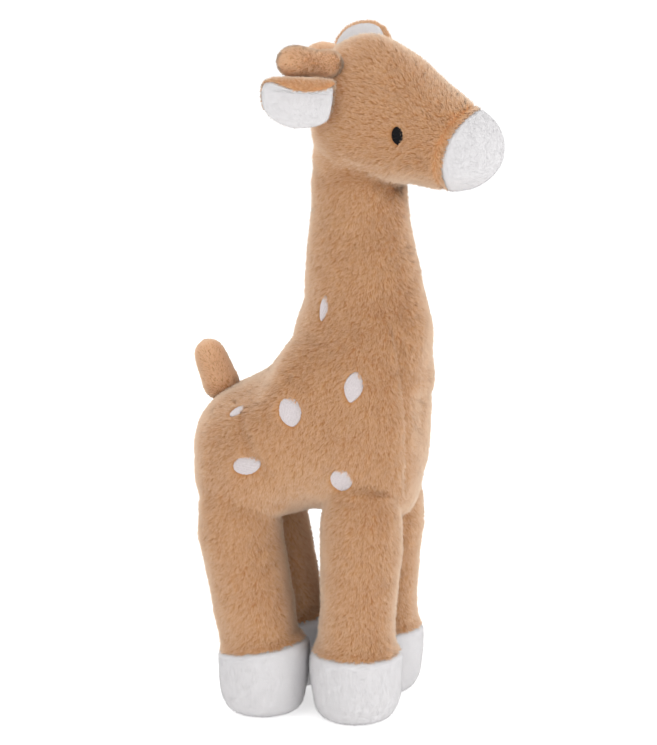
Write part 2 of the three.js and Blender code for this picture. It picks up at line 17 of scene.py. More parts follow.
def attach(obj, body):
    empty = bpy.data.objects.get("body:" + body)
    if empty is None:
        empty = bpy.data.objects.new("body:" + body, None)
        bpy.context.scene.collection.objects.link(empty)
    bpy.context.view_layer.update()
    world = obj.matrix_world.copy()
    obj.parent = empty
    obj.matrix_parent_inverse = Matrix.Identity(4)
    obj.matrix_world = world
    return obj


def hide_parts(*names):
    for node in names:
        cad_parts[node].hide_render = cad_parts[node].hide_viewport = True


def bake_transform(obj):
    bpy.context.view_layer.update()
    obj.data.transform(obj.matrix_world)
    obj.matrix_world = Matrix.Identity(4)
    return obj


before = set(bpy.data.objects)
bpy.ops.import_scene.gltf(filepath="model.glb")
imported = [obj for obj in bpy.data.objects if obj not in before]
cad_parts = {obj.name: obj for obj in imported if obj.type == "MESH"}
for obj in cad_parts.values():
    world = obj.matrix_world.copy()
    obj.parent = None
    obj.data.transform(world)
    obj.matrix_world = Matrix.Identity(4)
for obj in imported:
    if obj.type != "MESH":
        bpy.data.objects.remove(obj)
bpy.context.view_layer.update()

MM = 0.001  # forms are worked out in millimetres, and meshes are in metres

# ---------------------------------------------------------------- camera

PICTURE_WIDTH, PICTURE_HEIGHT = 657, 745
VIEW_SIDE, VIEW_RISE = math.radians(14.5), math.radians(11)
VIEW_DISTANCE = 1.3
VIEW_TARGET = Vector((0, 0, 0.19))
PIXELS_PER_METRE = 1838  # at the target
TARGET_RIGHT, TARGET_UP = 21.5, 6.5  # pixels from the middle of the picture
SENSOR_HEIGHT = 24


def add_camera():
    data = bpy.data.cameras.new("camera")
    camera = bpy.data.objects.new("camera", data)
    bpy.context.scene.collection.objects.link(camera)
    back = Vector((
        math.sin(VIEW_SIDE) * math.cos(VIEW_RISE),
        -math.cos(VIEW_SIDE) * math.cos(VIEW_RISE),
        math.sin(VIEW_RISE),
    ))
    camera.location = VIEW_TARGET + back * VIEW_DISTANCE
    camera.rotation_euler = back.to_track_quat("Z", "Y").to_euler()
    data.sensor_fit = "VERTICAL"
    data.sensor_height = SENSOR_HEIGHT
    data.lens = SENSOR_HEIGHT * VIEW_DISTANCE * PIXELS_PER_METRE / PICTURE_HEIGHT
    data.shift_x = -TARGET_RIGHT / PICTURE_HEIGHT
    data.shift_y = -TARGET_UP / PICTURE_HEIGHT
    bpy.context.scene.camera = camera


add_camera()

# ---------------------------------------------------------------- vectors


def unit(vectors):
    vectors = np.asarray(vectors, float)
    return vectors / np.maximum(np.linalg.norm(vectors, axis=-1, keepdims=True), 1e-12)


def dot(a, b):
    return (np.asarray(a) * b).sum(-1)


def ease(value):
    """0 to 1, level at both ends."""
    value = np.clip(value, 0, 1)
    return value * value * (3 - 2 * value)


FORWARD, _, UPWARD = np.eye(3)

# ---------------------------------------------------------------- forms


def smooth_rows(rows, count):
    """Catmull-Rom rows through the given ones, evenly spaced by row number."""
    rows = np.asarray(rows, float)
    rows = np.vstack([2 * rows[0] - rows[1], rows, 2 * rows[-1] - rows[-2]])
    place = np.linspace(0, len(rows) - 3, count + 1)
    first = np.minimum(place.astype(int), len(rows) - 4)
    t = (place - first)[:, None]
    a, b, c, d = (rows[first + step] for step in range(4))
    square, cube = 2 * a - 5 * b + 4 * c - d, 3 * b - a - 3 * c + d
    return 0.5 * (2 * b + (c - a) * t + square * t**2 + cube * t**3)


def loft(origin, run, over, rings, sides=72, squareness=2.0, taper=0.0, grow=0.0, fold=None):
    """A closed form through rings of (along, over, under, side, slope): its points and triangles."""
    run, over = unit(run), unit(over)
    side = np.cross(run, over)
    along, above, below, aside, slope = np.asarray(rings, float).T
    turn = np.arange(sides) * 2 * math.pi / sides

    def bend(value):
        return np.sign(value) * np.abs(value) ** (2 / squareness)

    up, out = bend(np.cos(turn)), bend(np.sin(turn))
    middle = ((above - below) / 2)[:, None]
    half = np.maximum((above + below) / 2 + grow, 0.05)[:, None]
    width = np.maximum(aside + grow, 0.05)[:, None]
    rise = middle + half * up
    endwise = grow * (2 * (along - along[0]) / (along[-1] - along[0]) - 1)
    length = (along + endwise)[:, None] - slope[:, None] * (rise - middle)
    across = width * out * (1 - taper * up)
    if fold:
        across, rise = fold(across, rise)
    grid = origin + length[..., None] * run + rise[..., None] * over + across[..., None] * side
    start, end = grid[0].mean(0), grid[-1].mean(0)
    points = np.vstack([start, grid[1:-1].reshape(-1, 3), end])
    here = np.arange(sides)
    ahead = (here + 1) % sides
    faces = [np.stack([np.zeros(sides, int), 1 + ahead, 1 + here], 1)]
    last = len(points) - 1
    for ring in range(len(rings) - 3):
        a, b = 1 + ring * sides, 1 + (ring + 1) * sides
        faces.append(np.stack([a + here, a + ahead, b + ahead], 1))
        faces.append(np.stack([a + here, b + ahead, b + here], 1))
    faces.append(np.stack([last - sides + here, last - sides + ahead, np.full(sides, last)], 1))
    return points, np.vstack(faces)


def rows_of(shares, length, above, below, aside, start=0.0):
    """Ring rows from a table of shares of a form's sizes."""
    return [[start + a * length, b * above, c * below, d * aside, 0.0] for a, b, c, d in shares]


def dome_rows(radius, shift=0.0, steps=5):
    """Ring rows of the first half of a ball."""
    turns = np.arange(steps) / steps * math.pi / 2
    reach = radius * np.sin(turns)
    rows = [radius * (1 - np.cos(turns)), reach + shift, reach - shift, reach, np.zeros(steps)]
    return np.stack(rows, 1).tolist()


def round_rows(shares, start, length, radius):
    """Ring rows that are round, from pairs of shares of a length and a radius."""
    return [[start + a * length, b * radius, b * radius, b * radius, 0.0] for a, b in shares]


PILE_RISE = 2.2  # how far the pile stands above the cloth
LEG_CUT = 107.0  # the bend at each hip starts below this height
BELLY_HEIGHT, BELLY_SWELL = 112.0, 0.06  # below this height the torso keeps little of its swell
HEAD_FLOOR = 250.0  # the head and the muzzle are above this height
HOOF_CEILING = 65.0  # the hoof caps are below this height

TORSO_SHARES = [
    (0, -0.13, 0.185, 0), (0.014, 0.03, 0.41, 0.28), (0.051, 0.2, 0.7, 0.61), (0.124, 0.32, 0.91, 0.85),
    (0.24, 0.42, 1, 0.98), (0.356, 0.55, 0.93, 1), (0.48, 0.82, 0.74, 0.97), (0.604, 0.96, 0.74, 0.93),
    (0.72, 1, 0.94, 0.91), (0.822, 0.97, 0.93, 0.86), (0.916, 0.9, 0.78, 0.72), (0.971, 0.8, 0.4, 0.46),
    (0.993, 0.66, 0, 0.22), (1, 0.37, -0.52, 0),
]
TORSO_LENGTH, TORSO_RISE, TORSO_DROP, TORSO_HALF_WIDTH = 131, 76, 54, 50
TORSO_BACK = np.array([-87.0, 0, 150])

NECK_ROOT = np.array([8.0, 0, 212])
NECK_RADIUS, NECK_HALF_WIDTH, NECK_LENGTH, NECK_TOP_RADIUS, NECK_TOP_SHIFT = 37.5, 36, 78, 26, -3
NECK_ROOT_SHARES = [
    (-1.15, 0, 0, 0), (-1.12, 0.7, 0.8, 1.1), (-0.9, 1, 1.1, 1.24), (-0.5, 1, 1.09, 1.16), (0, 1, 1, 1),
]
NECK_LOWER_SHARES = [(0.2, 0.9, 0.89, 0.87), (0.42, 0.8, 0.86, 0.8)]
NECK_UPPER_SHARES = [(0.62, 1.17, 1.06, 1.02), (0.82, 1.05, 1.01, 0.98), (1, 1, 1, 1)]

HEAD_SHARES = [
    (0, 0, 0, 0), (0.013, 0.25, 0.17, 0.28), (0.044, 0.51, 0.36, 0.5), (0.098, 0.77, 0.56, 0.72),
    (0.177, 0.957, 0.86, 0.88), (0.284, 1, 1, 0.98), (0.408, 0.94, 0.93, 1), (0.532, 0.843, 0.833, 0.97),
    (0.665, 0.763, 0.69, 0.87), (0.799, 0.683, 0.578, 0.76), (0.878, 0.606, 0.497, 0.67),
    (0.94, 0.457, 0.375, 0.51), (0.98, 0.27, 0.22, 0.31), (1, 0, 0, 0),
]
HEAD_LENGTH, HEAD_RISE, HEAD_DROP, HEAD_HALF_WIDTH, MUZZLE_LENGTH = 113, 31.5, 45, 34, 23
HEAD_PIVOT = NECK_ROOT + (NECK_TOP_SHIFT, 0, NECK_LENGTH)
HEAD_BACK = HEAD_PIVOT + (-22.7, 0, 62.4)
HEAD_TILT = math.radians(27)
HEAD_RUN = np.array([math.cos(HEAD_TILT), 0, -math.sin(HEAD_TILT)])
HEAD_OVER = np.array([math.sin(HEAD_TILT), 0, math.cos(HEAD_TILT)])
MUZZLE_SEAM = HEAD_BACK + HEAD_RUN * (HEAD_LENGTH - MUZZLE_LENGTH)
# The seam leans back at the top, and runs back on the cheeks
MUZZLE_SEAM_LEAN, MUZZLE_SEAM_SWEEP, MUZZLE_SEAM_HALF_HEIGHT = 0.113, 6.1, 21.7
NAPE_BOTTOM = np.array([-0.5, 0, 285])
NAPE_HALF_HEIGHT, NAPE_DEPTH, NAPE_HALF_WIDTH = 18, 17.2, 21.5

HIP_HEIGHT, HOOF_HEIGHT = 100.0, 38.0
ANKLE_RADIUS, HOOF_RADIUS, SOLE_RADIUS = 21.8, 25.1, 17.0
SIDES = ((1, "left"), (-1, "right"))
FRONT_LEG = {"radius": 22.5, "shin": 21.2, "step": -3.0, "tilt": 0.0}
HIND_LEG = {"radius": 23.5, "shin": 22.6, "step": 13.0, "tilt": 9.0}
LEGS = {
    f"{end}_{side_name}": {"hip": (reach, side * 26.0), **leg}
    for end, reach, leg in (("front", 13.0, FRONT_LEG), ("hind", -55.5, HIND_LEG))
    for side, side_name in SIDES
}


def torso_form():
    rows = smooth_rows(rows_of(TORSO_SHARES, TORSO_LENGTH, TORSO_RISE, TORSO_DROP, TORSO_HALF_WIDTH), 90)
    points, faces = loft(TORSO_BACK, FORWARD, UPWARD, rows, squareness=2.4, grow=-PILE_RISE)
    low = points[:, 2] < BELLY_HEIGHT
    points[low, 2] = BELLY_HEIGHT + (points[low, 2] - BELLY_HEIGHT) * BELLY_SWELL
    return points, faces


def neck_form():
    front, back = NECK_TOP_RADIUS + NECK_TOP_SHIFT, NECK_TOP_RADIUS - NECK_TOP_SHIFT
    lower = (NECK_RADIUS, NECK_RADIUS, NECK_HALF_WIDTH)
    rows = rows_of(NECK_ROOT_SHARES, NECK_RADIUS, *lower, start=NECK_RADIUS)
    rows += rows_of(NECK_LOWER_SHARES, NECK_LENGTH, *lower, start=NECK_RADIUS)
    rows += rows_of(NECK_UPPER_SHARES, NECK_LENGTH, front, back, NECK_TOP_RADIUS, start=NECK_RADIUS)
    top = NECK_RADIUS + NECK_LENGTH + NECK_TOP_RADIUS
    dome = [[top - row[0], *row[1:]] for row in dome_rows(NECK_TOP_RADIUS, NECK_TOP_SHIFT)[::-1]]
    rings = np.vstack([smooth_rows(rows, 70), dome])
    return loft(NECK_ROOT - UPWARD * NECK_RADIUS, UPWARD, FORWARD, rings, grow=-PILE_RISE)


def head_form():
    rows = smooth_rows(rows_of(HEAD_SHARES, HEAD_LENGTH, HEAD_RISE, HEAD_DROP, HEAD_HALF_WIDTH), 90)
    return loft(HEAD_BACK, HEAD_RUN, HEAD_OVER, rows, squareness=2.15, taper=0.22, grow=-PILE_RISE)


def nape_form():
    """Fills the nape, so that the back of the head runs on into the neck."""
    rows = []
    for turn in np.linspace(0, math.pi, 16):
        along = NAPE_HALF_HEIGHT - NAPE_HALF_HEIGHT * math.cos(turn)
        depth, width = NAPE_DEPTH * math.sin(turn), NAPE_HALF_WIDTH * math.sin(turn)
        rows.append([along, depth, depth, width, 0])
    return loft(NAPE_BOTTOM, UPWARD, FORWARD, rows, sides=48)


def thigh_rows(radius):
    """The top of a leg, which swells out of the side of the torso."""
    shares = [(-0.95, 0), (-0.9, 0.3), (-0.75, 0.6), (-0.3, 0.86), (0.3, 0.97), (0.7, 1)]
    return round_rows(shares, 0, radius, radius)


def leg_form(leg):
    slope = math.tan(math.radians(leg["tilt"]))
    seam = HIP_HEIGHT - HOOF_HEIGHT
    radius, step = leg["radius"], leg["step"]

    def row(along, reach, shift, lean):
        return [along + radius, reach + shift, reach - shift, reach, lean]

    rows = [
        row(0, radius, 0, 0),
        row(seam * 0.6, leg["shin"], step * 0.55, slope / 2),
        row(seam * 0.93, ANKLE_RADIUS, step * 0.82, slope),
        row(seam + HOOF_HEIGHT * 0.12, HOOF_RADIUS, step, slope),
        row(HIP_HEIGHT - 8, HOOF_RADIUS * 0.93, step, 0),
        row(HIP_HEIGHT, SOLE_RADIUS, step, 0),
        row(HIP_HEIGHT + 0.5, 0, step, 0),
    ]
    rings = np.vstack([thigh_rows(radius), smooth_rows(rows, 60)])
    x, y = leg["hip"]
    top = np.array([x, y, HIP_HEIGHT + radius])
    return loft(top, -UPWARD, FORWARD, rings, sides=64, grow=-PILE_RISE)


# ---------------------------------------------------------------- one skin


class Skin:
    """Points in millimetres, triangles and a smooth normal at each point."""

    def __init__(self, points, triangles, normals=None):
        self.points, self.triangles = np.asarray(points, float), np.asarray(triangles, int)
        self.normals = self.point_normals() if normals is None else normals

    def point_normals(self):
        a, b, c = (self.points[self.triangles[:, k]] for k in range(3))
        flat = np.cross(b - a, c - a)
        return unit(self.gather(flat))

    def gather(self, values):
        """The sum at each point of the values of the faces that meet there."""
        total = np.zeros((len(self.points), 3))
        for corner in self.triangles.T:
            for axis in range(3):
                total[:, axis] += np.bincount(corner, values[:, axis], len(self.points))
        return total

    def edges(self):
        pairs = self.triangles[:, [0, 1, 1, 2, 2, 0]].reshape(-1, 2)
        return np.unique(np.sort(pairs, 1), axis=0)

    def soften(self, steps):
        """Evens out the surface. Every second step pushes outward, which keeps the volume."""
        edges = self.edges()
        a, b = edges.T
        count = np.bincount(edges.ravel(), minlength=len(self.points))[:, None]
        for step in range(steps):
            total = np.zeros_like(self.points)
            for axis in range(3):
                total[:, axis] += np.bincount(a, self.points[b, axis], len(self.points))
                total[:, axis] += np.bincount(b, self.points[a, axis], len(self.points))
            pull = -0.53 if step % 2 else 0.5
            self.points += pull * (total / count - self.points)
        self.normals = self.point_normals()

    def raise_by(self, amount):
        self.points += self.normals * np.asarray(amount)[:, None]
        self.normals = self.point_normals()

    def only(self, keep):
        """The part whose triangles are kept."""
        used, places = np.unique(self.triangles[keep], return_inverse=True)
        return Skin(self.points[used], places.reshape(-1, 3), self.normals[used])

    def centres(self):
        return self.points[self.triangles].mean(1)


def skin_of(obj):
    """The skin of an object with its modifiers applied."""
    evaluated = obj.evaluated_get(bpy.context.evaluated_depsgraph_get())
    mesh = evaluated.to_mesh()
    points = np.empty(len(mesh.vertices) * 3)
    mesh.vertices.foreach_get("co", points)
    mesh.calc_loop_triangles()
    triangles = np.empty(len(mesh.loop_triangles) * 3, int)
    mesh.loop_triangles.foreach_get("vertices", triangles)
    evaluated.to_mesh_clear()
    return Skin(points.reshape(-1, 3) / MM, triangles.reshape(-1, 3))


def add_mesh(name, points, faces, material=None):
    mesh = bpy.data.meshes.new(name)
    mesh.vertices.add(len(points))
    mesh.vertices.foreach_set("co", (np.asarray(points) * MM).ravel())
    mesh.loops.add(faces.size)
    mesh.loops.foreach_set("vertex_index", faces.ravel())
    mesh.polygons.add(len(faces))
    mesh.polygons.foreach_set("loop_start", np.arange(len(faces)) * faces.shape[1])
    mesh.update(calc_edges=True)
    mesh.polygons.foreach_set("use_smooth", np.ones(len(faces), bool))
    obj = bpy.data.objects.new(name, mesh)
    bpy.context.scene.collection.objects.link(obj)
    if material:
        mesh.materials.append(material)
    return obj


def merged(forms):
    """One skin round several overlapping forms."""
    points, faces, count = [], [], 0
    for form_points, form_faces in forms:
        points.append(form_points)
        faces.append(form_faces + count)
        count += len(form_points)
    obj = add_mesh("forms", np.vstack(points), np.vstack(faces))
    remesh = obj.modifiers.new("merge", "REMESH")
    remesh.mode = "VOXEL"
    remesh.voxel_size = VOXEL_SIZE * MM
    skin = skin_of(obj)
    bpy.data.objects.remove(obj)
    return skin


def path_distance(points, path):
    """How far each point is from a path of straight steps."""
    path = np.asarray(path, float)
    best = np.full(len(points), np.inf)
    for start, end in zip(path[:-1], path[1:]):
        step = end - start
        share = np.clip(dot(points - start, step) / dot(step, step), 0, 1)
        best = np.minimum(best, np.linalg.norm(points - start - share[:, None] * step, axis=1))
    return best


def ripple(points, size, seed, waves=14):
    """Soft lumps of about the given size, mostly between -1 and 1."""
    rng = np.random.default_rng(seed)
    total = np.zeros(len(points))
    for _ in range(waves):
        wave = unit(rng.normal(size=3)) * 2 * math.pi / (size * rng.uniform(0.8, 1.6))
        total += np.sin(points @ wave + rng.uniform(0, 2 * math.pi))
    return total / math.sqrt(waves / 2) / 2


# Seams on the right side; the left side has the same ones
NECK_SEAM = [
    (17, -23, 289), (21, -22, 268), (25.5, -25, 237), (32, -27, 211),
    (37, -28, 179), (38, -25, 151), (36, -20, 122),
]
CROWN_SEAM = [(2, -27, 348), (18, -27, 346), (36, -25, 339), (54, -23, 327), (62, -20, 324)]
JAW_SEAM = [(2, -30, 307), (5, -27, 303), (18, -27, 300), (33, -29, 300), (43, -28, 300), (55, -25, 298)]
HAUNCH_FOLD = [(-48, -44, 166), (-42, -49, 154), (-35, -49, 145), (-30, -47, 139)]
FLANK_FOLD = [(-33, -46, 173), (-26, -48, 165)]
LEG_TOP_FOLD = [(-9, -42.5, 131), (0, -43.5, 127), (14, -43.5, 125)]
BELLY_FOLD = [(-30, -37, 120), (-21, -38, 122), (-11, -39, 122)]
SEAMS = [  # path, width and depth of the valley
    (NECK_SEAM, 1.9, 1.5), (CROWN_SEAM, 1.9, 1.3), (JAW_SEAM, 1.9, 1.6), (HAUNCH_FOLD, 2.4, 1.7),
    (FLANK_FOLD, 2.0, 0.9), (LEG_TOP_FOLD, 2.2, 1.2), (BELLY_FOLD, 2.4, 1.2),
]


def seam_depth(points, spread=1.0):
    """How deep the seams and folds are pressed in at each point."""
    near_side = np.array(points, float)
    near_side[:, 1] = -np.abs(points[:, 1])
    depth = np.zeros(len(points))
    for path, width, deep in SEAMS:
        apart = path_distance(near_side, path) / width / spread
        depth = np.maximum(depth, deep * np.exp(-(apart**2)))
    return depth


def ahead_of(points, place, normal):
    return dot(points - place, unit(normal))


def past_muzzle_seam(points):
    """How far each point is ahead of the curved seam of the muzzle cap."""
    rise = dot(points - MUZZLE_SEAM, HEAD_OVER)
    cheek = np.maximum(1 - (rise / MUZZLE_SEAM_HALF_HEIGHT) ** 2, -0.6)
    return ahead_of(points, MUZZLE_SEAM, HEAD_RUN) + MUZZLE_SEAM_LEAN * rise + MUZZLE_SEAM_SWEEP * cheek


def hoof_seam(leg):
    """A point on the seam of a leg's hoof cap, and the direction that it faces."""
    tilt = math.radians(leg["tilt"])
    x, y = leg["hip"]
    place = np.array([x + leg["step"] * 0.82, y, HOOF_HEIGHT])
    return place, np.array([-math.sin(tilt), 0, math.cos(tilt)])


HEAD_BEND = unit((0.4, 0, 0.9))
HEAD_BEND_START, HEAD_BEND_END = HEAD_PIVOT - HEAD_BEND * 14, HEAD_PIVOT + HEAD_BEND * 12
NECK_CUT = 190.0  # the bend at the root of the neck starts above this height
NECK_BEND_START, NECK_BEND_END = np.array([8.0, 0, NECK_CUT]), np.array([8.0, 0, 236])
LEG_BEND_DROP = 24.0
CUT_REACH = 12.0  # a level cut only splits the triangles near it
HOOF_DIVIDE = -16.2  # runs between the front and hind hooves, which nearly touch

VOXEL_SIZE = 1.8
CAP_SWELL, CAP_SWELL_REACH = 1.9, 2.4  # the white caps stand proud of the tan cloth
CAP_SEAM_DEPTH, CAP_SEAM_WIDTH = 0.6, 1.4
SOLE_HEIGHT = 0.35  # leaves room for the pile under the soles


def leg_of(points):
    """Which leg each point below the belly is on."""
    front = points[:, 0] > HOOF_DIVIDE
    left = points[:, 1] > 0
    return np.where(front, np.where(left, 0, 1), np.where(left, 2, 3))


def body_skin():
    forms = [torso_form(), neck_form(), nape_form(), head_form()]
    forms += [leg_form(leg) for leg in LEGS.values()]
    skin = merged(forms)
    skin.soften(24)
    points = skin.points
    upper = points[:, 2] > HEAD_FLOOR
    leg_at = leg_of(points)
    below_hoof_seam = np.full(len(points), -np.inf)
    for number, leg in enumerate(LEGS.values()):
        place, facing = hoof_seam(leg)
        mine = (leg_at == number) & (points[:, 2] < HOOF_CEILING + 5)
        below_hoof_seam[mine] = -ahead_of(points[mine], place, facing)
    past = np.maximum(below_hoof_seam, np.where(upper, past_muzzle_seam(points), -np.inf))
    swell = CAP_SWELL * ease((past + 0.2) / CAP_SWELL_REACH)
    swell = swell - CAP_SEAM_DEPTH * np.exp(-((past / CAP_SEAM_WIDTH) ** 2))
    lumps = 0.5 * ripple(points, 26, 3) + 0.2 * ripple(points, 11, 4)
    calm = ease((points[:, 2] - 3) / 10)
    skin.raise_by(swell + lumps * calm - seam_depth(points))
    skin.points[:, 2] = np.maximum(skin.points[:, 2], SOLE_HEIGHT)
    return skin


def split(points, triangles, level, reach):
    """Splits the triangles that the line of level 0 crosses, where every corner is within reach."""
    level = np.where(np.abs(level) < 0.02, 0, level)
    side = np.sign(level)[triangles]
    crossed = reach[triangles].all(1) & (side.min(1) < 0) & (side.max(1) > 0)
    work, side = triangles[crossed], side[crossed]
    on_line = (side == 0).any(1)
    alone = np.where(on_line[:, None], side == 0, side == -np.sign(side.sum(1))[:, None]).argmax(1)
    a, b, c = work[np.arange(len(work))[:, None], (alone[:, None] + np.arange(3)) % 3].T
    off_line = ~on_line
    across = [np.column_stack([a, end])[off_line] for end in (b, c)]
    edges = np.vstack([np.column_stack([b, c])[on_line], *across])
    edges, places = np.unique(np.sort(edges, 1), axis=0, return_inverse=True)
    first, last = level[edges].T
    share = (first / (first - last))[:, None]
    added = points[edges[:, 0]] * (1 - share) + points[edges[:, 1]] * share
    counts = np.cumsum([on_line.sum(), off_line.sum()])
    here, beside, beyond = np.split(places.ravel() + len(points), counts)
    pieces = [np.column_stack(rows) for rows in (
        (a[on_line], b[on_line], here), (a[on_line], here, c[on_line]),
        (a[off_line], beside, beyond), (beside, b[off_line], c[off_line]), (beside, c[off_line], beyond),
    )]
    return np.vstack([points, added]), np.vstack([triangles[~crossed], *pieces])


def cut(skin):
    """The skin with rows of points along the cuts, and the name of the piece each triangle is in."""
    points, triangles = skin.points, skin.triangles

    def split_where(level, reach):
        nonlocal points, triangles
        points, triangles = split(points, triangles, level(points), reach(points))

    for height in (LEG_CUT, NECK_CUT):
        split_where(lambda p: p[:, 2] - height, lambda p: np.abs(p[:, 2] - height) < CUT_REACH)
    split_where(lambda p: ahead_of(p, HEAD_BEND_START, HEAD_BEND), lambda p: p[:, 2] > HEAD_FLOOR - 5)
    split_where(past_muzzle_seam, lambda p: (p[:, 2] > HEAD_FLOOR) & (p[:, 0] > 35))
    for number, leg in enumerate(LEGS.values()):
        split_where(
            lambda p: ahead_of(p, *hoof_seam(leg)),
            lambda p: (p[:, 2] < HOOF_CEILING) & (leg_of(p) == number),
        )
    whole_skin = Skin(points, triangles)
    centres = whole_skin.centres()
    names = np.full(len(centres), "torso", dtype=object)
    names[centres[:, 2] > NECK_CUT] = "neck"
    on_head = (centres[:, 2] > HEAD_FLOOR) & (ahead_of(centres, HEAD_BEND_START, HEAD_BEND) > 0)
    names[on_head] = "head"
    names[on_head & (past_muzzle_seam(centres) > 0)] = "muzzle"
    low = centres[:, 2] < LEG_CUT
    leg_at = leg_of(centres)
    for number, (name, leg) in enumerate(LEGS.items()):
        mine = low & (leg_at == number)
        names[mine] = f"leg_{name}"
        names[mine & (ahead_of(centres, *hoof_seam(leg)) < 0)] = f"hoof_{name}"
    return whole_skin, names


# ---------------------------------------------------------------- finishes


class Link:
    """One output of a node. Arithmetic on it adds Math nodes to the same finish."""

    def __init__(self, finish, socket):
        self.finish, self.socket = finish, socket

    def math(self, operation, *values):
        return self.finish.node("ShaderNodeMath", {"operation": operation}, dict(enumerate(values)))

    def __add__(self, other):
        return self.math("ADD", self, other)

    def __mul__(self, other):
        return self.math("MULTIPLY", self, other)

    def __pow__(self, other):
        return self.math("POWER", self, other)

    __radd__, __rmul__ = __add__, __mul__


def colour(levels):
    """A colour written as 0 to 255, as light."""
    levels = np.array(levels) / 255
    light = np.where(levels <= 0.04045, levels / 12.92, ((levels + 0.055) / 1.055) ** 2.4)
    return (*light.tolist(), 1.0)


WHITE = (1, 1, 1, 1)
SHEEN, SHEEN_SPREAD = colour((255, 226, 200)), 0.4
CLOTH_GLOSS = 0.12


class Finish:
    """A material, or the world, that is made of nodes."""

    def __init__(self, name, kind="materials"):
        self.holder = getattr(bpy.data, kind).new(name)
        self.holder.use_nodes = True
        self.tree = self.holder.node_tree
        self.tree.nodes.clear()

    def node(self, kind, settings=None, sockets=None, out=0):
        """Adds a node, sets its settings and then its sockets, and gives its output."""
        node = self.tree.nodes.new(kind)
        for name, value in (settings or {}).items():
            setattr(node, name, value)
        for name, value in (sockets or {}).items():
            if isinstance(value, Link):
                self.tree.links.new(value.socket, node.inputs[name])
            else:
                node.inputs[name].default_value = value
        return Link(self, node.outputs[out]) if node.outputs else None

    def mix(self, factor, first, second):
        """A colour between two, by the factor."""
        sockets = {0: factor, 6: first, 7: second}
        return self.node("ShaderNodeMix", {"data_type": "RGBA"}, sockets, out=2)

    def attribute(self, name):
        return self.node("ShaderNodeAttribute", {"attribute_name": name}, out=2)

    def noise(self, scale, detail=2.0, roughness=0.5):
        place = self.node("ShaderNodeTexCoord", out=3)
        sockets = {"Vector": place, "Scale": scale, "Detail": detail, "Roughness": roughness}
        return self.node("ShaderNodeTexNoise", {}, sockets)

    def principled(self, colour, roughness=0.9, sheen=0.0, bump=None, depth=0.0002):
        sockets = {
            "Base Color": colour, "Roughness": roughness, "Specular IOR Level": CLOTH_GLOSS,
            "Sheen Weight": sheen, "Sheen Roughness": SHEEN_SPREAD, "Sheen Tint": SHEEN,
        }
        if bump is not None:
            relief = {"Height": bump, "Distance": depth, "Strength": 1.0}
            sockets["Normal"] = self.node("ShaderNodeBump", {}, relief)
        return self.node("ShaderNodeBsdfPrincipled", {}, sockets)

    def white_light(self, kind, cast, shown):
        """White light of one strength, which is seen at another, also in gloss and through glass."""
        sockets = [{"Color": WHITE, "Strength": strength} for strength in (cast, shown)]
        light, picture = (self.node(kind, {}, levels) for levels in sockets)
        rays = [f"Is {ray} Ray" for ray in ("Camera", "Glossy", "Transmission")]
        seen, *others = (self.node("ShaderNodeLightPath", out=ray) for ray in rays)
        for other in others:
            seen = seen.math("MAXIMUM", seen, other)
        return self.node("ShaderNodeMixShader", {}, {0: seen, 1: light, 2: picture})

    def done(self, shader, output="ShaderNodeOutputMaterial"):
        self.node(output, {}, {"Surface": shader})
        return self.holder


def tuft_finish_with_painted_light(name, dark, light, tip, root_level_in_painted_shade, sheen):
    """Tufts from dark to light, with painted shade that darkens them at the root, and painted light that
    makes them paler at the tip and where they are seen edge on.
    """
    dark, light, tip = colour(dark), colour(light), colour(tip)
    finish = Finish(name)
    tone, along = finish.attribute("tone"), finish.attribute("along")
    body = finish.mix(tone, dark, light)
    # Painted shade: towards the root the colour goes towards black, for the shade deep in the pile.
    shaded = finish.mix(along * (1 - root_level_in_painted_shade) + root_level_in_painted_shade, (0, 0, 0, 1), body)
    # Painted light: the tips are mixed towards the pale tip colour.
    front = finish.principled(finish.mix(along**2.0 * 0.5, shaded, tip), sheen=sheen)
    # Painted sheen: a pale copy in the tip colour, mixed in by how edge-on the tuft is seen.
    edge = finish.principled(tip, sheen=sheen)
    facing = finish.node("ShaderNodeLayerWeight", {}, {"Blend": 0.5}, out=1)
    share = facing**1.5 * (along * 0.7 + 0.3)
    return finish.done(finish.node("ShaderNodeMixShader", {}, {0: share, 1: front, 2: edge}))


def cloth_finish(name, dark, light, scale, depth):
    """Woven backing with fine roots of pile on it."""
    finish = Finish(name)
    patches = finish.noise(scale / 6, detail=3.0)
    grain = finish.noise(scale, detail=4.0, roughness=0.6)
    shade = patches * 0.6 + grain * 0.4
    tint = finish.mix(shade, colour(dark), colour(light))
    return finish.done(finish.principled(tint, bump=grain, depth=depth))


def thread_finish(name, dark, light, roughness):
    finish = Finish(name)
    strands = finish.noise(1400)
    tint = finish.mix(strands, colour(dark), colour(light))
    return finish.done(finish.principled(tint, roughness=roughness))


# Each pile has its dark and light tone, a pale tip colour that is painted light, the level at the root
# under painted shade, and its sheen.
TAN_TUFTS = tuft_finish_with_painted_light("tan pile", (211, 144, 90), (233, 176, 119), (255, 233, 210), 0.88, 0.85)
WHITE_TUFTS = tuft_finish_with_painted_light("white pile", (221, 219, 220), (226, 224, 225), (226, 224, 225), 1.0, 0.0)
# Painted light: the horn and tail pile is paler than the body pile, for the light that falls round these
# small parts.
STUB_TUFTS_PAINTED_PALE = tuft_finish_with_painted_light(
    "horn and tail pile", (248, 184, 134), (255, 208, 162), (255, 226, 200), 0.92, 0.9,
)
TAN_CLOTH = cloth_finish("tan plush cloth", (202, 140, 96), (220, 162, 116), 1500, 0.0004)
WHITE_CLOTH = cloth_finish("white plush cloth", (214, 212, 213), (224, 222, 223), 1800, 0.0002)
WHITE_THREAD = thread_finish("white thread", (198, 190, 191), (232, 225, 226), 0.7)
BLACK_THREAD = thread_finish("black thread", (6, 6, 8), (22, 21, 24), 0.4)

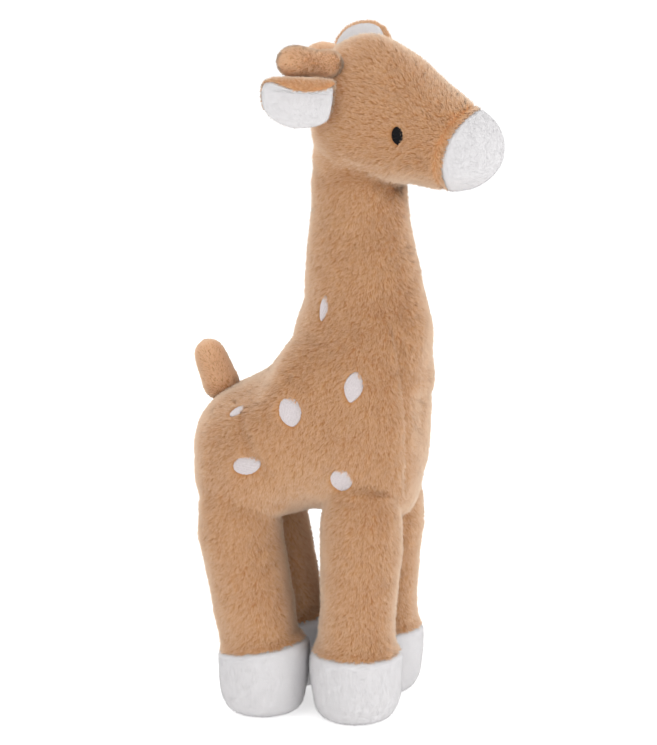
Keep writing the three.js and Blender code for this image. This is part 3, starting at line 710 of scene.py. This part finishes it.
# ---------------------------------------------------------------- cloth pieces


def rim_loops(triangles):
    """The open rims of a sheet of triangles, each as a list of points in order."""
    directed = np.vstack([triangles[:, [0, 1]], triangles[:, [1, 2]], triangles[:, [2, 0]]])
    there = {tuple(edge) for edge in directed.tolist()}
    follow = {a: b for a, b in there if (b, a) not in there}
    loops = []
    while follow:
        start, here = follow.popitem()
        loop = [start]
        while here != start and here in follow:
            loop.append(here)
            here = follow.pop(here)
        if len(loop) > 2:
            loops.append(loop)
    return loops


def follow(obj, how):
    """Rides on a body. A piece that is given a joint between two bodies instead has its place applied to
    its mesh, and stays as it is.
    """
    if isinstance(how, str):
        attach(obj, how)
    else:
        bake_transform(obj)


def cloth(name, skin, material, nodes, how):
    """A closed, smooth piece in place of CAD nodes. Its capped rims are hidden by another piece."""
    points, triangles = skin.points, skin.triangles
    corner_normals = [skin.normals[triangles].reshape(-1, 3)]
    extra_points, extra_faces = [], []
    for loop in rim_loops(triangles):
        middle = points[loop].mean(0)
        number = len(points) + len(extra_points)
        extra_points.append(middle)
        ring = np.array([loop, loop[1:] + loop[:1]])
        extra_faces.append(np.stack([ring[1], ring[0], np.full(len(loop), number)], 1))
        away = unit(np.cross(points[ring[1]] - middle, points[ring[0]] - middle).sum(0))
        corner_normals.append(np.tile(away, (len(loop) * 3, 1)))
    if extra_points:
        points = np.vstack([points, extra_points])
        triangles = np.vstack([triangles, *extra_faces])
    obj = add_mesh(name, points, triangles, material)
    obj.data.normals_split_custom_set(np.vstack(corner_normals))
    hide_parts(*nodes)
    follow(obj, how)


# ---------------------------------------------------------------- pile


# density is tufts on each square millimetre, lean and stray are in degrees, gather is how far the tips
# draw into locks of clump tufts, and calm is how much a tuft is shaded as the cloth under it
TAN_PILE = {
    "density": 4.6, "length": 3.5, "width": 0.56, "lean": 46, "stray": 8,
    "gather": 0.08, "clump": 10, "calm": 0.62,
}
WHITE_PILE = {
    "density": 2.6, "length": 0.75, "width": 0.3, "lean": 25, "stray": 10,
    "gather": 0.0, "clump": 8, "calm": 0.92,
}
EAR_PILE = {**TAN_PILE, "length": 2.0, "width": 0.5, "lean": 50}
STUB_PILE = {
    **TAN_PILE, "density": 8, "length": 2.1, "width": 0.44, "lean": 52, "gather": 0.05, "calm": 0.75,
}
THINNER = 1.0
ROOT_DEPTH = 0.35  # how deep a tuft starts in the cloth
TUFT_FACES = np.array([[0, 1, 3], [1, 2, 3], [2, 0, 3], [0, 2, 1]])
# Tufts of one tone share one strip of the map, from the root at the bottom to the tip at the top
TUFT_STRIP = np.array([[-0.008, 0.01], [0.008, 0.01], [0, 0.06], [0, 0.99]])


def turned(vectors, about, angle):
    """Vectors turned about unit axes that they are square to."""
    angle = angle[:, None]
    return vectors * np.cos(angle) + np.cross(about, vectors) * np.sin(angle)


def nearest(points, centres):
    tree = KDTree(len(centres))
    for number, centre in enumerate(centres):
        tree.insert(centre, number)
    tree.balance()
    return np.array([tree.find(point)[1] for point in points])


def tufts(name, skin, kind, flow, material, how, seed, clear=None, tone=None):
    """A pile on a skin: closed slim tufts that lean with the flow and gather into locks."""
    rng = np.random.default_rng(seed)
    corners = skin.points[skin.triangles]
    across, down = corners[:, 1] - corners[:, 0], corners[:, 2] - corners[:, 0]
    area = np.linalg.norm(np.cross(across, down), axis=1) / 2
    count = int(area.sum() * kind["density"] * THINNER)
    chosen = rng.choice(len(area), count, p=area / area.sum())
    share = rng.random((count, 2))
    share = np.where(share.sum(1, keepdims=True) > 1, 1 - share, share)
    weights = np.column_stack([1 - share.sum(1), share])[..., None]
    roots = (corners[chosen] * weights).sum(1)
    normals = unit((skin.normals[skin.triangles[chosen]] * weights).sum(1))
    if clear is not None:
        kept = ~clear(roots)
        roots, normals = roots[kept], normals[kept]
        count = len(roots)
    way = flow(roots, normals)
    way = unit(way - dot(way, normals)[:, None] * normals)
    way = around_patches(roots, way, normals)
    every = kind["clump"]
    lock = nearest(roots, roots[::every])
    locks = len(roots[::every])
    lock_turn, lock_lean, lock_tone = (rng.normal(0, spread, locks) for spread in (0.3, 4.5, 0.08))
    way = turned(way, normals, rng.normal(0, 0.22, count) + lock_turn[lock])
    degrees = kind["lean"] + rng.normal(0, kind["stray"], count) + lock_lean[lock]
    lean = np.radians(np.clip(degrees, 5, 82))[:, None]
    heading = unit(normals * np.cos(lean) + way * np.sin(lean))
    length = kind["length"] * rng.uniform(0.8, 1.12, count)[:, None]
    tips = roots + heading * length
    tips += (tips[::every][lock] - tips) * kind["gather"]
    heading = unit(tips - roots)
    aside = unit(np.cross(normals, heading))
    half = kind["width"] / 2 * rng.uniform(0.7, 1.25, count)[:, None]
    base = roots - normals * ROOT_DEPTH
    face = np.cross(aside, heading)
    face *= np.sign(dot(face, normals) + 1e-6)[:, None]
    points = np.stack([base - aside * half, base + aside * half, base + face * half, tips], 1)
    faces = (np.arange(count)[:, None, None] * 4 + TUFT_FACES).reshape(-1, 3)
    obj = add_mesh(name, points.reshape(-1, 3), faces, material)
    mesh = obj.data
    calm = kind["calm"]
    round_it = unit(np.stack([-aside - 0.3 * face, aside - 0.3 * face, face, face + heading], 1))
    shaded = unit(round_it * (1 - calm) + normals[:, None, :] * calm)
    mesh.normals_split_custom_set_from_vertices(shaded.reshape(-1, 3))
    # A tone given by the piece can carry painted shade, as the coat's seam lines do.
    level = 0.5 + rng.normal(0, 0.1, count) + lock_tone[lock] + (0 if tone is None else tone(roots))
    level = np.clip(level, 0.02, 0.98)
    for key, values in (("tone", np.repeat(level, 4)), ("along", np.tile([0, 0, 0, 1.0], count))):
        mesh.attributes.new(key, "FLOAT", "POINT").data.foreach_set("value", values)
    places = np.column_stack([level, np.zeros(count)])[:, None, None, :] + TUFT_STRIP[TUFT_FACES]
    mesh.uv_layers.new(name="OFBake").data.foreach_set("uv", np.clip(places, 0, 1).ravel())
    follow(obj, how)


def coat_tone_and_seam_shade(points):
    """Broad patches of lighter and darker pile, and painted shade in a darker line along each seam and
    fold.
    """
    patches = 0.07 * ripple(points, 34, 8) + 0.05 * ripple(points, 9, 9)
    # Painted shade: the pile is darker in the valleys of the seams and folds.
    return patches - 0.3 * seam_depth(points, spread=0.55)


def coat_flow(points, normals):
    """The nap runs down and back, and outward from the middle line. It overlaps the muzzle's seam."""
    side = np.tanh(points[:, 1] / 6)
    near_seam = ease((past_muzzle_seam(points) + 4.5) / 3.5) * (points[:, 2] > HEAD_FLOOR)
    body = np.column_stack([np.full(len(points), -0.4), 0.1 * side, np.full(len(points), -1.0)])
    head = -HEAD_RUN + np.column_stack([np.zeros(len(points)), 0.2 * side, np.full(len(points), -0.35)])
    head = head * (1 - near_seam[:, None]) + HEAD_RUN * 1.4 * near_seam[:, None]
    share = ease((dot(points - HEAD_PIVOT, HEAD_BEND) + 4) / 16)[:, None]
    return body * (1 - share) + head * share


def straight_flow(way):
    """A nap that runs one way all over a piece."""
    return lambda points, normals: np.tile(way, (len(points), 1))


# ---------------------------------------------------------------- body, head and legs

whole_skin, piece_names = cut(body_skin())

NECK_BLEND = ("torso", "neck", NECK_BEND_START * MM, NECK_BEND_END * MM)
HEAD_BLEND = ("neck", "head", HEAD_BEND_START * MM, HEAD_BEND_END * MM)


def leg_blend(name, leg):
    x, y = leg["hip"]
    start, end = np.array([x, y, LEG_CUT]), np.array([x, y, LEG_CUT - LEG_BEND_DROP])
    return ("torso", f"leg_{name}", start * MM, end * MM)


def dress(piece, how, nodes, white=False, pieces=1, seed=1):
    """The cloth and the pile of one cut-out, which stand for the CAD nodes."""
    skin = whole_skin.only(piece_names == piece)
    if white:
        material, finish, slot = WHITE_CLOTH, WHITE_TUFTS, "white_plush"
        kind, flow, clear, tone = WHITE_PILE, straight_flow((-0.2, 0, -1.0)), None, None
    else:
        material, finish, slot = TAN_CLOTH, TAN_TUFTS, "tan_plush"
        kind, flow, clear, tone = TAN_PILE, coat_flow, patch_clear, coat_tone_and_seam_shade
    cloth(f"{piece}_cloth", skin, material, nodes, how)
    parts = {"": np.ones(len(skin.triangles), bool)}
    if pieces > 1:
        left = skin.centres()[:, 1] > 0
        parts = {"_left": left, "_right": ~left}
    if pieces > 2:
        rear = skin.centres()[:, 0] < np.median(skin.centres()[:, 0])
        ends = {"_rear": rear, "_front": ~rear}
        parts = {
            side + end: beside & along
            for side, beside in parts.items() for end, along in ends.items()
        }
    for number, (suffix, keep) in enumerate(parts.items()):
        name = f"{piece}_pile{suffix}"
        tufts(name, skin.only(keep), kind, flow, finish, how, 10 * seed + number, clear, tone)


# ---------------------------------------------------------------- stitched spots and eyes

# Where each spot is on the right side, the way it faces, its length and width, its lean in degrees,
# and how pointed its lower and upper end are: an oval has 0.5
Spot = namedtuple("Spot", "at facing size lean ends")
SPOTS = {
    "neck": Spot((-8, -28, 226), (-0.42, -0.89, 0.1), (14.5, 5.4), 86, (0.7, 0.6)),
    "shoulder": Spot((12.5, -42, 187), (0.1, -0.97, 0.15), (17.4, 9.8), 79, (0.85, 0.65)),
    "back": Spot((-21, -47, 173), (-0.05, -0.97, 0.2), (16, 11.6), 100, (0.6, 0.34)),
    "rump": Spot((-54, -37.5, 171), (-0.42, -0.6, 0.68), (10.5, 6.0), 50, (0.6, 0.5)),
    "haunch": Spot((-44.5, -49.5, 143), (0, -1, 0), (16.2, 10), 14, (0.5, 0.5)),
    "chest": Spot((6, -42.5, 136), (0.05, -0.98, -0.15), (13.2, 12), 80, (0.55, 0.45)),
}
EYE = Spot((33.6, -33, 319), (0.16, -0.98, 0.08), (9.2, 6.2), 93, (0.75, 0.42))


def spot_frame(spot, side):
    """A spot's centre, long and short directions and facing, on the left (1) or the right (-1)."""
    flip = np.array([1, -side, 1])
    centre, facing = np.array(spot.at) * flip, unit(np.array(spot.facing) * flip)
    level = unit(np.cross(facing, UPWARD)) * side
    rise = unit(np.cross(facing, level))
    rise = rise * np.sign(rise[2])
    lean = math.radians(spot.lean)
    long = level * math.cos(lean) + rise * math.sin(lean)
    short = np.cross(facing, long)
    return centre, long, short, facing


def spot_reach(points, spot, side):
    """1 on a spot's rim, less inside it and more outside it."""
    centre, long, short, facing = spot_frame(spot, side)
    offset = points - centre
    along, aside = (dot(offset, way) / (size / 2) for way, size in zip((long, short), spot.size))
    lower, upper = spot.ends
    waist = np.maximum(1 - along**2, 0.06) ** (np.where(along > 0, upper, lower) - 0.5)
    return np.where(np.abs(dot(offset, facing)) < 12, np.hypot(along, aside / waist), np.inf)


PATCHES = [(spot, side) for spot in [*SPOTS.values(), EYE] for side in (1, -1)]
SPOT_BARE_SHARE = 0.93  # the pile stands over the rims of the spots


def patch_clear(points):
    """Where no tuft grows, because stitches hold the pile down."""
    bare = [
        spot_reach(points, spot, side) < (1.0 if spot is EYE else SPOT_BARE_SHARE)
        for spot, side in PATCHES
    ]
    return np.any(bare, 0)


def around_patches(points, way, normals):
    """The nap parts round the stitches."""
    for spot, side in PATCHES:
        centre = spot_frame(spot, side)[0]
        past = (spot_reach(points, spot, side) - 1) * sum(spot.size) / 4
        near = (np.clip(1 - past / 5, 0, 1) ** 1.5)[:, None] * np.isfinite(past)[:, None]
        outward = points - centre
        outward = unit(outward - dot(outward, normals)[:, None] * normals)
        way = unit(way + 0.8 * near * outward)
    return way


skin_tree = BVHTree.FromPolygons(whole_skin.points.tolist(), whole_skin.triangles.tolist())


def stitches(
    name, spot, side, node, how, material, thread=0.5, rise=1.0, across=False, stitch=3.6,
):
    """Rows of thread that lie side by side on the cloth, within an oval."""
    centre, long, short, facing = spot_frame(spot, side)
    length, width = spot.size
    run, step = (short, long) if across else (long, short)
    run_half, step_half = (width / 2, length / 2) if across else (length / 2, width / 2)
    rows = int(2 * step_half / (thread * 0.92))
    trial = np.linspace(-1.3, 1.3, 105)[:, None] * run_half * run
    sides = 6
    points, faces, count = [], [], 0
    around = np.arange(sides) / sides * 2 * math.pi
    for row in range(rows):
        offset = (2 * (row + 0.5) / rows - 1) * step_half
        inside = dot(trial[spot_reach(centre + trial + offset * step, spot, side) <= 1], run)
        if len(inside) < 4:
            continue
        start, half = (inside[0] + inside[-1]) / 2, (inside[-1] - inside[0]) / 2
        places = np.linspace(-half, half, max(5, int(2 * half / 0.45)))
        swell = rise * (1 - (offset / step_half) ** 2 * 0.45)
        rings = []
        for along in places:
            above = centre + run * (start + along) + step * offset + facing * 15
            hit, normal, _, _ = skin_tree.ray_cast(Vector(above), Vector(-facing), 40)
            if hit is None:
                continue
            phase = (along / stitch + (row % 3) / 3) % 1
            dip = 0.5 * thread * math.exp(-((min(phase, 1 - phase) * stitch / 0.35) ** 2))
            end = min(1, (half - abs(along)) / 0.7)
            height = swell * math.sqrt(max(end, 0)) - dip
            middle = np.array(hit) + np.array(normal) * (height - 0.1)
            fat = thread / 2 * (0.5 + 0.5 * min(1, end * 2))
            rings.append(
                middle
                + fat * 1.1 * np.cos(around)[:, None] * step
                + fat * np.sin(around)[:, None] * np.array(normal)
            )
        if len(rings) < 3:
            continue
        rings = np.array(rings)
        ends = np.array([rings[0].mean(0), rings[-1].mean(0)])
        points.append(np.vstack([rings.reshape(-1, 3), ends]))
        here = np.arange(sides)
        ahead = (here + 1) % sides
        last = len(rings) * sides
        tube = [np.stack([here, ahead, np.full(sides, last)], 1)]
        for ring in range(len(rings) - 1):
            a, b = ring * sides, (ring + 1) * sides
            tube.append(np.stack([a + here, b + here, b + ahead], 1))
            tube.append(np.stack([a + here, b + ahead, a + ahead], 1))
        top = (len(rings) - 1) * sides
        tube.append(np.stack([top + ahead, top + here, np.full(sides, last + 1)], 1))
        faces.append(np.vstack(tube) + count)
        count += last + 2
    obj = add_mesh(name, np.vstack(points), np.vstack(faces), material)
    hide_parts(node)
    follow(obj, how)


dress("torso", "torso", ["torso_skin", "torso_stuffing"], pieces=4, seed=1)
dress("neck", NECK_BLEND, ["neck_skin", "neck_stuffing"], pieces=2, seed=2)
dress("head", HEAD_BLEND, ["head_skin", "head_stuffing"], pieces=2, seed=3)
dress("muzzle", "head", ["muzzle_cap"], white=True, seed=4)
for seed, (name, leg) in enumerate(LEGS.items()):
    nodes = [f"leg_skin_{name}", f"leg_stuffing_{name}"]
    dress(f"leg_{name}", leg_blend(name, leg), nodes, seed=5 + seed)
    dress(f"hoof_{name}", f"leg_{name}", [f"hoof_cap_{name}"], white=True, seed=9 + seed)

for side, side_name in SIDES:
    for name, spot in SPOTS.items():
        how = NECK_BLEND if name in ("neck", "shoulder") else "torso"
        node = f"{name}_spot_{side_name}"
        stitches(f"{name}_stitches_{side_name}", spot, side, node, how, WHITE_THREAD)
    name, node = f"eye_stitches_{side_name}", f"eye_{side_name}"
    stitches(
        name, EYE, side, node, "head", BLACK_THREAD,
        thread=0.55, rise=2.1, across=True, stitch=30,
    )

# ---------------------------------------------------------------- ears, horns and tail


def aim(point, face):
    run = unit(point)
    look = np.asarray(face, float)
    return run, unit(look - dot(look, run) * run)


EAR_SHARES = [
    (0, 0.3, 0), (0.02, 0.7, 0.55), (0.08, 1, 0.78), (0.25, 1, 0.95), (0.48, 1, 1),
    (0.68, 0.97, 0.92), (0.85, 0.85, 0.7), (0.96, 0.55, 0.4), (1, 0.1, 0),
]
EAR_ROOT, HORN_ROOT = np.array([-4.5, 35, 49.5]), np.array([-9.5, 24.5, 65])  # from the head's pivot
TAIL_ROOT, TAIL_TILT = np.array([-73.5, 0, 177]), math.radians(22)
EAR_LENGTH, EAR_HALF_WIDTH, EAR_THICKNESS, LINING_THICKNESS = 38, 17.5, 4.6, 2.8
EAR_ROLLS = {"left": (11.0, 5.0), "right": (1.0, 6.0)}  # where the edge starts to roll, and the radius
EAR_RIMS = {"left": (0.6, -0.4), "right": (-0.2, 1.0)}  # the right ear's lining covers its rim
EAR_AIMS = {
    "left": aim((-0.22, 0.47, 0.86), (-0.02, -0.9, 0.4)),
    "right": aim((-0.9, -0.41, 0.06), (0.3, -0.92, -0.1)),
}
HORN_AIMS = {
    "left": aim((-0.94, 0.33, -0.03), (0, 0, 1)),
    "right": aim((-0.72, -0.68, 0.08), (0, 0, 1)),
}


def roll_edge(side):
    """One long edge of an ear rolls over towards its lining."""
    start, radius = EAR_ROLLS[side]

    def fold(across, rise):
        past = across - start
        turn = np.maximum(past, 0) / radius
        reach = radius - rise
        rolled = past > 0
        return (
            np.where(rolled, start + reach * np.sin(turn), across),
            np.where(rolled, radius - reach * np.cos(turn), rise),
        )

    return fold


def ear_rows(thickness, half_width, start, end, lift, count=40):
    rows = []
    for a, b, c in EAR_SHARES:
        half = b * thickness / 2
        rows.append([start + a * (end - start), lift + half, half - lift, c * half_width, 0.0])
    return smooth_rows(rows, count)


def dress_ear(side, sign):
    root = HEAD_PIVOT + EAR_ROOT * (1, sign, 1)
    run, look = EAR_AIMS[side]
    body = f"ear_{side}"
    back_rows = ear_rows(EAR_THICKNESS, EAR_HALF_WIDTH, 0, EAR_LENGTH, 0)
    rim, puff = EAR_RIMS[side]
    back = Skin(*loft(root, run, look, back_rows, sides=64, fold=roll_edge(side), grow=rim))
    nodes = [f"ear_back_{side}"]
    cloth(f"ear_back_cloth_{side}", back, TAN_CLOTH, nodes, body)
    lining_rows = ear_rows(
        2 * LINING_THICKNESS, EAR_HALF_WIDTH * 0.95, EAR_LENGTH * 0.06, EAR_LENGTH * 0.98,
        EAR_THICKNESS / 2,
    )
    lining = Skin(*loft(root, run, look, lining_rows, sides=64, fold=roll_edge(side), grow=puff))
    nodes = [f"ear_lining_{side}"]
    cloth(f"ear_lining_cloth_{side}", lining, WHITE_CLOTH, nodes, body)
    name, flow = f"ear_back_pile_{side}", straight_flow(run)
    tufts(name, back, EAR_PILE, flow, TAN_TUFTS, body, 40 + sign)
    name = f"ear_lining_pile_{side}"
    tufts(name, lining, WHITE_PILE, flow, WHITE_TUFTS, body, 50 + sign)


def dress_stub(piece, nodes, origin, run, look, rows, seed):
    """A horn or the tail, which has the name of its body."""
    skin = Skin(*loft(origin, run, look, rows, sides=40, grow=-1.2))
    cloth(f"{piece}_cloth", skin, TAN_CLOTH, nodes, piece)
    flow = straight_flow(run)
    tufts(f"{piece}_pile", skin, STUB_PILE, flow, STUB_TUFTS_PAINTED_PALE, piece, seed)


def dress_horn(side, sign):
    root = HEAD_PIVOT + HORN_ROOT * (1, sign, 1)
    run, look = HORN_AIMS[side]
    root_radius, length, stalk, knob = 7.8, 31, 7.4, 8.9
    middle = root_radius + length - knob
    rows = round_rows([(0, 1)], root_radius, length, root_radius)
    rows += round_rows([(0.25, 0.98), (0.48, 1.12)], root_radius, length, stalk)
    rows += round_rows([(-0.1, 1), (0.55, 0.82), (0.9, 0.42), (1, 0)], middle, knob, knob)
    rings = np.vstack([dome_rows(root_radius), smooth_rows(rows, 36)])
    nodes = [f"horn_skin_{side}", f"horn_stuffing_{side}"]
    dress_stub(f"horn_{side}", nodes, root - run * root_radius, run, look, rings, 60 + sign)


def dress_tail():
    run, look = aim((-math.sin(TAIL_TILT), 0, math.cos(TAIL_TILT)), FORWARD)
    root_radius, length, end_radius = 10.4, 26, 8.8
    end = root_radius + length
    rows = round_rows([(0, 1), (0.4, 0.92)], root_radius, length, root_radius)
    rows += round_rows([(-0.9, 1), (-0.35, 0.78), (-0.08, 0.4), (0, 0)], end, end_radius, end_radius)
    rings = np.vstack([dome_rows(root_radius), smooth_rows(rows, 30)])
    nodes = ["tail_skin", "tail_stuffing"]
    dress_stub("tail", nodes, TAIL_ROOT - run * root_radius, run, look, rings, 70)


for side, side_name in SIDES:
    dress_ear(side_name, side)
    dress_horn(side_name, side)
dress_tail()

# ---------------------------------------------------------------- studio

FLOOR_REACH = 30.0  # metres
FLOOR_GLOW, FLOOR_GLOW_SHOWN = 0.28, 0.55  # added to the light that the floor throws back
DAYLIGHT = 0.7  # the strength of the light from all round


def add_floor():
    """A floor that shows white and keeps the toy's shadow."""
    corners = np.array([[-1, -1, 0], [1, -1, 0], [1, 1, 0], [-1, 1, 0]]) * FLOOR_REACH / MM
    floor = add_mesh("floor", corners, np.array([[0, 1, 2, 3]]))
    finish = Finish("studio floor")
    lit = finish.node("ShaderNodeBsdfDiffuse", {}, {"Color": (0.86, 0.86, 0.86, 1)})
    glow = finish.white_light("ShaderNodeEmission", FLOOR_GLOW, FLOOR_GLOW_SHOWN)
    floor.data.materials.append(finish.done(finish.node("ShaderNodeAddShader", {}, {0: lit, 1: glow})))


def add_light(name, place, size, power):
    data = bpy.data.lights.new(name, "AREA")
    data.shape, data.size, data.energy = "DISK", size, power
    lamp = bpy.data.objects.new(name, data)
    lamp.location = place
    lamp.rotation_euler = (Vector(place) - VIEW_TARGET).to_track_quat("Z", "Y").to_euler()
    bpy.context.scene.collection.objects.link(lamp)


def add_world():
    """Even light from all round, in front of a white background."""
    finish = Finish("studio", "worlds")
    sky = finish.white_light("ShaderNodeBackground", DAYLIGHT, 1.0)
    bpy.context.scene.world = finish.done(sky, "ShaderNodeOutputWorld")


add_floor()
add_world()
add_light("key", (-0.7, -1.5, 1.1), 1.2, 2)
add_light("front", (0.4, -1.5, 0.3), 0.8, 2.4)
add_light("fill", (1.6, -0.5, 0.5), 1.2, 6.5)
add_light("top", (-0.3, -0.3, 1.8), 1.2, 7)
add_light("left edge", (-1.3, 0.9, 1.2), 1.0, 9)
add_light("right edge", (1.3, 1.0, 1.1), 1.0, 7)
bpy.context.scene.view_settings.view_transform = "Standard"
